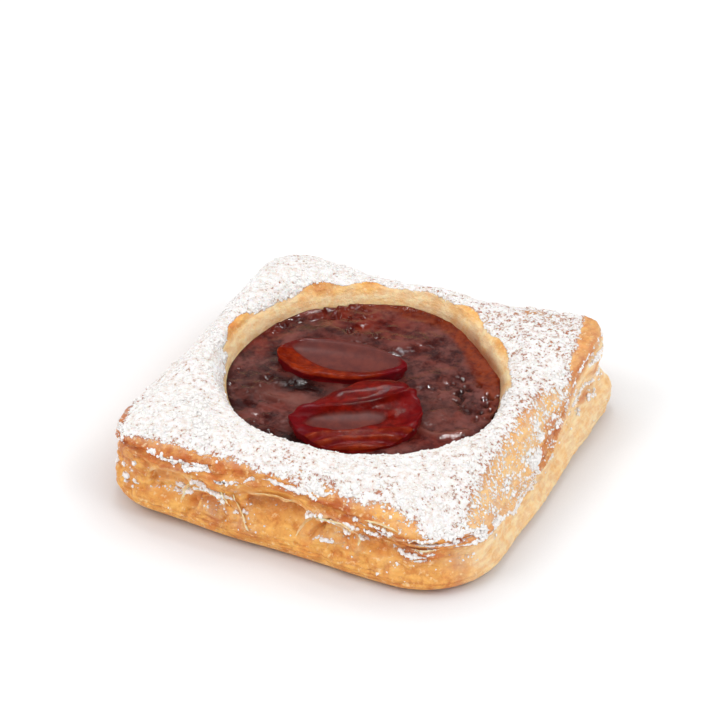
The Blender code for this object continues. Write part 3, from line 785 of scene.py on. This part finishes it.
# %% Where the jam is darker, red or stained brown, with painted shade and painted sheen
# Patches of each tone: weight, middle and spread.
RED = [
    (1, -18, 28, 22, 8), (0.8, -34, 12, 5, 10), (0.9, 24, -13, 9, 3.5),
    (0.6, 15.9, -6, 4, 7), (0.35, -16.5, -15, 3, 1.6),
]
# Darker jam; the first patch lies in the hollow beside the back wedge, as painted shade there.
DARK = [
    (1.2, -17, -4.6, 10, 3.0), (0.9, -8, -26, 8, 3), (0.9, 9, -29, 14, 3), (0.8, -29.5, 5.6, 2.6, 3),
    (0.45, -29, -10, 5, 8), (0.7, 16, -3, 2.6, 5), (0.55, -22, 20, 14, 2.2),
]
# Painted sheen: lighter pink fields and streaks where the wet jam reflects the light.
PINK = [(1, -18, -11, 9, 3), (0.4, 23, -1, 7, 7)]
spots = read_vertices(jam)[0] / MM
x, y, z = spots.T
turn = np.arctan2(y - WINDOW[1], x - WINDOW[0])
from_rim = np.interp(turn % (2 * math.pi), turns, reach, period=2 * math.pi)
from_rim -= np.hypot(x - WINDOW[0], y - WINDOW[1])
degrees = np.degrees(turn)
wobble = soft_noise(spots, (5, 5, 9), 73)
boiled, dimples, pool_rim = jam_marks(x, y)
# The brown smear along the wall, widest at the back right.
smear_width = 1.0 + 6.0 * bell(degrees - 48, 34) + 1.6 * bell(degrees - 105, 24) + 1.4 * wobble
smear = smooth_step(smear_width + 0.8, smear_width - 1.4, from_rim)
smear *= np.clip(0.15 + 0.95 * bell(degrees - 46, 38) + 0.35 * bell(degrees - 105, 30), 0, 1)
streaks = soft_noise(flat_points(degrees / 22, from_rim / 1.6), (1, 1, 1), 74)
red = patches(x, y, RED) + 0.3 * wobble
# Painted shade in the late-boiled dimples.
dark = patches(x, y, DARK) + 0.75 * boiled * smooth_step(0.1, 0.55, dimples)
# Painted shade along the jam's edge against the wall, at the front and left.
dark += 0.5 * smooth_step(1.4, 0.2, from_rim) * smooth_step(10, -10, y)
# Painted sheen on the pool's raised rim and in light streaks at the back.
pink = patches(x, y, PINK) + 0.9 * pool_rim
pink += 0.55 * patch(x, y, (-11, 26.5), (9, 2.0)) * smooth_step(-0.2, 0.5, streaks)
write_values(jam, smear=smear, red=red, dark=dark, pink=pink)

# %% Jam material
paint = Paint("jam", IOR=1.40)
cloud = paint.mottle(5, 0.36, 0.66, detail=5, roughness=0.65)
# The jam's dark colour, with its lighter mauve end a painted reflection of the light round it.
jam_colour = paint.mix(cloud, colour(58, 23, 22), colour(120, 68, 62))
# Painted sheen: pink where the wet jam catches the light.
jam_colour = paint.mix(paint.value("pink", times=0.8), jam_colour, colour(140, 84, 74))
red_jam = paint.mix(cloud, colour(74, 10, 6), colour(118, 30, 12))
jam_colour = paint.mix(paint.value("red", times=0.9), jam_colour, red_jam)
smeared = paint.mottle(2.4, 0.35, 0.7, detail=4, roughness=0.65)
smeared = paint.mix(smeared, colour(140, 56, 22), colour(98, 26, 10))
jam_colour = paint.mix(paint.value("smear"), jam_colour, smeared)
# Painted shade, near black, in the dimples, along the edge and in the darkest patches.
jam_colour = paint.mix(paint.value("dark", times=0.9), jam_colour, colour(26, 12, 11))
specks = paint.mottle(1.1, 0.60, 0.72, 0.0, 0.35)
jam_colour = paint.mix(specks, jam_colour, colour(140, 62, 42))
ripples = paint.grain(1.7, 0.35, 0.7, detail=4)
paint.finish(jam, Base_Color=jam_colour, Roughness=paint.mottle(3, 0.35, 0.7, 0.05, 0.2), Normal=ripples)

# %% [markdown]
# ## The plum wedges
# A stewed plum wedge has a smooth, slightly sunken cut face under syrup, a rim of redder flesh that stands a
# little proud, and a skin that has wrinkled lengthwise. Plain noise would wrinkle it all ways, so each copy
# is displaced in the wedge's own directions: along it, across it and up.


# %% The cut faces
def back_face(own, up_side, under_side, lumps, relief):
    """A lens of syrup with a painted reflection, an orange band of flesh on its near side and a magenta far
    tip.
    """
    along, across, _ = own.T
    near_edge = -3.6 + 0.022 * (along - 2) ** 2
    face = up_side * smooth_step(near_edge - 0.5, near_edge + 0.4, across + 0.3 * lumps)
    face *= smooth_step(1.10, 0.96, np.hypot((along - 0.5) / 14.5, (across - 0.4) / 6.4))
    relief = relief * (1 - 0.9 * face) - 0.30 * face
    border = up_side * (1 - face)
    far_border = 0.7 * border * smooth_step(1.0, 4.0, across)
    flesh = border * smooth_step(3.5, -1.0, across) * smooth_step(13.0, 8.0, along)
    magenta = smooth_step(9.0, 14.0, along) + 0.8 * under_side + far_border
    return relief, {"face": face, "flesh": flesh, "magenta": magenta, "deep": far_border}


def front_face(own, up_side, lumps, relief, seed):
    """A syrup pool, painted as a reflection, at near left, a thick flap above it and flesh ridges by the near
    edge.
    """
    along, across, _ = own.T
    pool = np.hypot((along + 2.6) / 10.5, (across + 0.5 - 0.10 * along) / 3.1)
    face = up_side * smooth_step(1.10, 0.85, pool + 0.12 * lumps)
    bend = across + 0.014 * (along + 2) ** 2 * (1 - 0.03 * along)
    folds = np.sin(2 * math.pi * (bend + 0.5 * soft_noise(own, (9, 9, 9), seed + 8)) / 3.0)
    near = smooth_step(-3.2, -5.2, bend - 0.6)
    from_flap = across - 3.2 - 0.14 * along
    flap = smooth_step(-0.4, 0.8, from_flap)
    relief = relief * (1 - 0.9 * face) - 0.55 * face
    relief += up_side * (0.50 * near * folds + 0.7 * bell(from_flap - 0.9, 0.9))
    relief += up_side * 0.35 * flap * soft_noise(own, (9, 2.4, 3), seed + 10)
    relief -= 0.5 * up_side * patch(along, across, (5, 5.0), (6, 1.4))
    magenta = 0.8 * smooth_step(-7.0, -12.0, along) + 0.6 * smooth_step(9.0, 14.0, along)
    magenta += 0.45 * near * smooth_step(0.2, -0.8, folds)
    deep = 0.4 * flap * smooth_step(0.0, 0.6, soft_noise(own, (7, 2, 3), seed + 12))
    # Painted shade in the groove under the flap.
    deep += 0.8 * patch(along, across, (5, 4.8), (6, 1.8))
    flesh = up_side * near * (0.55 + 0.45 * folds)
    return relief, {"face": face, "flesh": flesh, "magenta": magenta, "deep": deep}


print("cut faces ready")

# %% Plum wedges
# Each wedge: its node, the visual piece's name, its centre and turn as in the solid, and a seed.
WEDGES = [
    ("plum_wedge_back", "back_plum", (-9.8, 7.5, 21.8), 13.0, 51),
    ("plum_wedge_front", "front_plum", (4.2, -13.2, 21.4), 29.5, 57),
]
plums = []
for node, name, centre, turn, seed in WEDGES:
    plum = refined_copy(node, name)
    places, normals = read_vertices(plum)
    cos, sin = math.cos(math.radians(turn)), math.sin(math.radians(turn))
    axes = np.array([(cos, -sin, 0), (sin, cos, 0), (0, 0, 1)])
    own = (places / MM - np.array(centre) - np.array([*SHIFT, 0])) @ axes
    up_side = smooth_step(0.2, 0.6, normals[:, 2])
    wrinkle = soft_noise(own, (10, 1.5, 1.9), seed) + 0.5 * soft_noise(own, (4, 0.8, 1.0), seed + 2)
    lumps = soft_noise(own, (3.5, 2.5, 3), seed + 4)
    relief = 0.22 * lumps + (0.30 - 0.20 * up_side) * wrinkle
    if name == "back_plum":
        under_side = smooth_step(0.35, -0.1, normals[:, 2])
        relief, tones = back_face(own, up_side, under_side, lumps, relief)
    else:
        relief, tones = front_face(own, up_side, lumps, relief, seed)
    displace(plum, places, normals, relief)
    write_values(plum, **tones)
    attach(plum, "root")
    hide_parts(node)
    plums.append(plum)
    print(name, len(plum.data.polygons), "faces, relief", span(relief))

# %% Plum material
paint = Paint("plum", IOR=1.40, Specular_IOR_Level=0.18, Subsurface_Weight=0.06, Subsurface_Scale=0.002)
tones = paint.mottle(2.6, 0.35, 0.68, detail=4, roughness=0.65)
skin = paint.mix(tones, colour(88, 7, 4), colour(134, 22, 10))
skin = paint.mix(paint.value("magenta", times=0.8), skin, colour(106, 14, 24))
# Deep red skin, with painted shade in the front wedge's groove.
skin = paint.mix(paint.value("deep", times=0.8), skin, colour(66, 10, 8))
flesh = paint.mix(paint.mottle(3.0, 0.35, 0.7, detail=4), colour(108, 24, 8), colour(146, 46, 14))
plum_colour = paint.mix(paint.value("flesh"), skin, flesh)
# Painted reflection: the cut faces' mauve stands for the light mirrored by their wet syrup.
syrup = paint.mix(tones, colour(100, 50, 46), colour(116, 58, 50))
plum_colour = paint.mix(paint.value("face", times=0.92), plum_colour, syrup)
face = paint.value("face")
fibres = paint.grain(1.0, 0.22, paint.ramp(face, 0.2, 0.8, 0.8, 0.05), detail=4)
paint.finish(*plums, Base_Color=plum_colour, Roughness=paint.ramp(face, 0.0, 1.0, 0.07, 0.48), Normal=fibres)

# %% [markdown]
# ## Clumps of icing sugar
# Sifted sugar lies in soft clumps of half a millimetre to two, not in an even film, and their tiny shadows
# make it look like powder. A particle system could scatter them, but it can't be told how thick the sugar
# lies. So each clump is a rough blob of twenty faces, scattered over the crust's faces, more where the stored
# cover is high, and all are joined into one mesh.

# %% How likely each face of the crust is to hold a clump
crust.data.calc_loop_triangles()
corners = np.empty(len(crust.data.loop_triangles) * 3, dtype=np.int32)
crust.data.loop_triangles.foreach_get("vertices", corners)
corners = corners.reshape(-1, 3)
places, normals = read_vertices(crust)
first, second, third = (places[corners[:, k]] for k in range(3))
areas = np.linalg.norm(np.cross(second - first, third - first), axis=1) / 2
middles = places[corners].mean(axis=1) / MM
cover = np.clip(sugar, 0, 1)[corners].mean(axis=1)
on_ledge = ledge[corners].mean(axis=1)
heaps = smooth_step(-0.3, 0.7, soft_noise(middles, (3.2, 3.2, 3.2), 81))
heaps *= 0.4 + 0.6 * smooth_step(-0.5, 0.6, soft_noise(middles, (11, 11, 11), 83))
chance = areas * cover ** 1.6 * (0.25 + heaps + 1.6 * on_ledge)
print("faces that can hold a clump:", int((chance > 0).sum()))

# %% Scatter the clumps
CLUMPS = 8600
BIG_CLUMPS = 260
bpy.ops.mesh.primitive_ico_sphere_add(subdivisions=1, radius=1.0, location=(0, 0, 0))
blob = bpy.context.object
blob_points = np.array([vertex.co for vertex in blob.data.vertices])
blob_faces = np.array([face.vertices for face in blob.data.polygons])
bpy.data.objects.remove(blob, do_unlink=True)
chosen = random.choice(len(chance), CLUMPS, p=chance / chance.sum())
cuts = np.sort(random.random((CLUMPS, 2)), axis=1)
weights = np.stack([cuts[:, 0], cuts[:, 1] - cuts[:, 0], 1 - cuts[:, 1]], axis=1)
seats = (places[corners[chosen]] * weights[:, :, None]).sum(axis=1) / MM
ups = normals[corners[chosen, 0]]
sizes = 0.16 + 0.30 * random.random(CLUMPS) ** 2.2 * (0.5 + heaps[chosen] + 0.6 * on_ledge[chosen])
sizes[:BIG_CLUMPS] *= 1.5
# Rough blobs, each stretched its own way, pressed flat along the crust's normal and sunk a little into it.
blobs = blob_points[None] * (1 + 0.28 * random.standard_normal((CLUMPS, len(blob_points), 1)))
blobs = blobs * (sizes[:, None, None] * random.uniform(0.8, 1.5, (CLUMPS, 1, 3)))
blobs -= 0.45 * (blobs * ups[:, None]).sum(axis=2, keepdims=True) * ups[:, None]
points = (blobs + (seats + ups * sizes[:, None] * 0.25)[:, None]).reshape(-1, 3) * MM
faces = (blob_faces[None] + (np.arange(CLUMPS) * len(blob_points))[:, None, None]).reshape(-1, 3)
icing_mesh = bpy.data.meshes.new("icing_sugar")
icing_mesh.from_pydata(np.clip(points, low, high).tolist(), [], faces.tolist())
icing_sugar = add_object("icing_sugar", icing_mesh)
icing_sugar.data.shade_smooth()
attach(icing_sugar, "root")
paint = Paint("icing_sugar", Base_Color=colour(250, 247, 245), Roughness=0.95, Specular_IOR_Level=0.2)
paint.finish(icing_sugar, Normal=paint.grain(0.3, 0.08, 0.6, detail=2))
print("sugar clumps:", CLUMPS, "with", len(faces), "faces, radius", span(sizes))

# %% [markdown]
# ## Loose leaves at the front
# Where a blister has broken, its thin skin stands up as a cream-coloured leaf. Relief can't stand free of the
# crust, so each leaf is a mesh of its own: a narrow curved strip that follows a path over the front side,
# rooted in the crust, thickest in the middle and curling outwards.

# %% Thin leaves of dough
# Each leaf: points of its path on the front side as (x, z), its width and how far it stands out.
LEAVES = [
    ([(-13.0, 14.6), (-11.4, 11.2), (-9.4, 8.2), (-6.9, 5.0)], 1.5, 0.9),
    ([(5.4, 7.0), (7.2, 11.0), (11.4, 14.6), (17.0, 16.4), (21.2, 15.0), (22.6, 12.4), (21.8, 9.6)],
     1.6, 1.0),
    ([(23.6, 17.4), (26.8, 17.4), (30.0, 16.9), (33.8, 16.2)], 2.0, 1.0),
    ([(-26.6, 7.6), (-26.2, 10.6), (-24.4, 13.0), (-21.0, 13.2)], 1.3, 0.8),
    ([(-17.0, 14.8), (-15.0, 13.2), (-13.6, 10.6)], 1.3, 0.8),
    ([(-8.6, 15.2), (-4.6, 15.8), (0.6, 15.8), (6.0, 15.4)], 1.1, 0.7),
    ([(35.0, 11.8), (39.6, 11.6), (44.0, 12.2)], 1.3, 0.8),
]
LEAF_STEPS = 22
HALF_THICKNESS = 0.14
ROOT_DEPTH = 0.35
surface = BVHTree.FromObject(crust, bpy.context.evaluated_depsgraph_get())


def smooth_path(path):
    """A path's points, spread evenly over its stretches, with the corners rounded."""
    at = np.linspace(0, len(path) - 1, LEAF_STEPS)
    line = [np.interp(at, range(len(path)), values) for values in path.T]
    padded = [np.pad(values, 2, mode="edge") for values in line]
    return np.stack([np.convolve(values, np.ones(5) / 5, "valid") for values in padded], 1)


leaves = bmesh.new()
for path, width, out in LEAVES:
    line = smooth_path(np.array(path) + np.array([SHIFT[0], 0]))
    heading = np.gradient(line, axis=0)
    heading /= np.linalg.norm(heading, axis=1, keepdims=True)
    rows = []
    for k, (spot, ahead) in enumerate(zip(line, heading)):
        share = k / (LEAF_STEPS - 1)
        body = math.sin(math.pi * min(max(share, 0.04), 0.96)) ** 0.5
        ragged = 1 + 0.25 * math.sin(17 * share + 3 * spot[0]) * math.sin(7 * share)
        hit = surface.ray_cast(Vector((spot[0] * MM, -0.08, spot[1] * MM)), Vector((0, 1, 0)))[0]
        root = np.array([spot[0], hit.y / MM + ROOT_DEPTH, spot[1]])
        tip = root + np.array([-ahead[1] * width, -out - ROOT_DEPTH, ahead[0] * width]) * body * ragged
        thick = np.array([0, -HALF_THICKNESS, 0]) * body
        outline = (root + thick * 2, tip + thick, tip - thick, root - thick * 2)
        rows.append([leaves.verts.new(Vector(place * MM)) for place in outline])
    for before, after in zip(rows, rows[1:]):
        for k in range(4):
            leaves.faces.new((before[k], before[(k + 1) % 4], after[(k + 1) % 4], after[k]))
    leaves.faces.new(rows[0])
    leaves.faces.new(rows[-1][::-1])
bmesh.ops.recalc_face_normals(leaves, faces=leaves.faces)
crust_leaves = add_object("crust_leaves", close_mesh(leaves, "crust_leaves"))
subdivide(crust_leaves, 2)
places, normals = read_vertices(crust_leaves)
displace(crust_leaves, places, normals, 0.12 * soft_noise(places / MM, (1.6, 1.6, 1.6), 91))
crust_leaves.data.shade_smooth()
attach(crust_leaves, "root")
paint = Paint("leaf", Roughness=0.45, Subsurface_Weight=0.25, Subsurface_Scale=0.002)
leaf_colour = paint.mix(paint.mottle(2.5, 0.38, 0.62, detail=4), colour(255, 240, 204), colour(246, 200, 130))
paint.finish(crust_leaves, Base_Color=leaf_colour, Normal=paint.grain(0.8, 0.2, 0.5))
print("leaves:", len(LEAVES), "with", len(crust_leaves.data.polygons), "faces")

# %% [markdown]
# ## Stage, light and camera
# The photo was taken in soft, even light on a white sweep: no hard shadow, a faint grey pool beside the
# pastry, and white above. A bright even surround gives that. The floor's own colour darkens near the pastry,
# read with an Ambient Occlusion node, which makes that shadow softer and easier to set than a lamp would. Two
# softboxes model the sides, and one lamp overhead the lid. Jam and syrup mirror what is round them, so the
# surround is kept out of reflections, which would grey them, and two lamps show only there: sheen, a broad
# soft one from behind, and glint, a small bright one.

# %% Floor
SHADE_REACH = 0.019
NEAR_SHADE = (0.76, 0.75, 0.77, 1)
FAR_SHADE = (0.80, 0.805, 0.83, 1)
OPEN_FLOOR = (0.95, 0.955, 0.965, 1)
bpy.ops.mesh.primitive_plane_add(size=6.0, location=(0, 0, 0))
floor = bpy.context.object
floor.name = "floor"
paint = Paint("floor", Roughness=0.9, Specular_IOR_Level=0.0)
contact = paint.tree.nodes.new("ShaderNodeAmbientOcclusion")
contact.samples = 6
contact.inputs["Distance"].default_value = SHADE_REACH
open_share = paint.ramp(contact.outputs["AO"], 0.74, 0.97)
shade = paint.mix(paint.ramp(contact.outputs["AO"], 0.45, 0.80), NEAR_SHADE, FAR_SHADE)
paint.finish(floor, Base_Color=paint.mix(open_share, shade, OPEN_FLOOR))

# %% Light
# Each lamp: name, place and size in metres, and power in watts. All are turned to the pastry.
LAMPS = [
    ("left softbox", (-0.45, -0.5, 0.8), 0.4, 1.8), ("right softbox", (0.72, -0.12, 0.8), 0.4, 1.9),
    ("overhead", (-0.12, 0.18, 1.0), 0.12, 0.8), ("sheen", (-0.50, 0.86, 0.78), 0.62, 0.5),
    ("glint", (0.05, 0.12, 1.0), 0.05, 7.0),
]
ONLY_REFLECTED = ("sheen", "glint")
LIT_POINT = Vector((0, 0, 0.015))
SURROUND_STRENGTH = 0.84
scene.view_settings.view_transform = "Standard"
world = bpy.data.worlds.new("surround")
scene.world = world
world.use_nodes = True
world.node_tree.nodes["Background"].inputs["Color"].default_value = (1.0, 1.0, 1.0, 1)
world.node_tree.nodes["Background"].inputs["Strength"].default_value = SURROUND_STRENGTH
world.cycles_visibility.glossy = False
for name, place, size, power in LAMPS:
    lamp = bpy.data.lights.new(name, "AREA")
    lamp.shape = "SQUARE"
    lamp.size = size
    lamp.energy = power
    holder = add_object(name, lamp)
    holder.location = place
    holder.visible_diffuse = name not in ONLY_REFLECTED
    holder.rotation_euler = (LIT_POINT - Vector(place)).to_track_quat("-Z", "Y").to_euler()
print("lamps:", len(LAMPS))

# %% Camera
# A long lens that looks down from the front right: its turn and tilt in degrees, and its place in
# millimetres, as distance, shift to the right and shift up from the pastry's middle.
CAMERA_TURN, CAMERA_TILT = math.radians(26.05), math.radians(33.6)
DISTANCE, ASIDE, ABOVE = 850.36, -0.87, 24.51
FOCAL_LENGTH, SENSOR_WIDTH = 162.03, 36
right = Vector((math.cos(CAMERA_TURN), math.sin(CAMERA_TURN), 0))
back = Vector((math.sin(CAMERA_TURN), -math.cos(CAMERA_TURN), 0)) * math.cos(CAMERA_TILT)
back.z = math.sin(CAMERA_TILT)
up = back.cross(right)
lens = bpy.data.cameras.new("camera")
lens.lens = FOCAL_LENGTH
lens.sensor_width = SENSOR_WIDTH
camera = add_object("camera", lens)
place = (back * DISTANCE + right * ASIDE + up * ABOVE + Vector((*SHIFT, 0))) * MM
camera.matrix_world = Matrix.Translation(place) @ Matrix((right, up, back)).transposed().to_4x4()
scene.camera = camera
print("camera at", [round(v, 3) for v in place], "m")
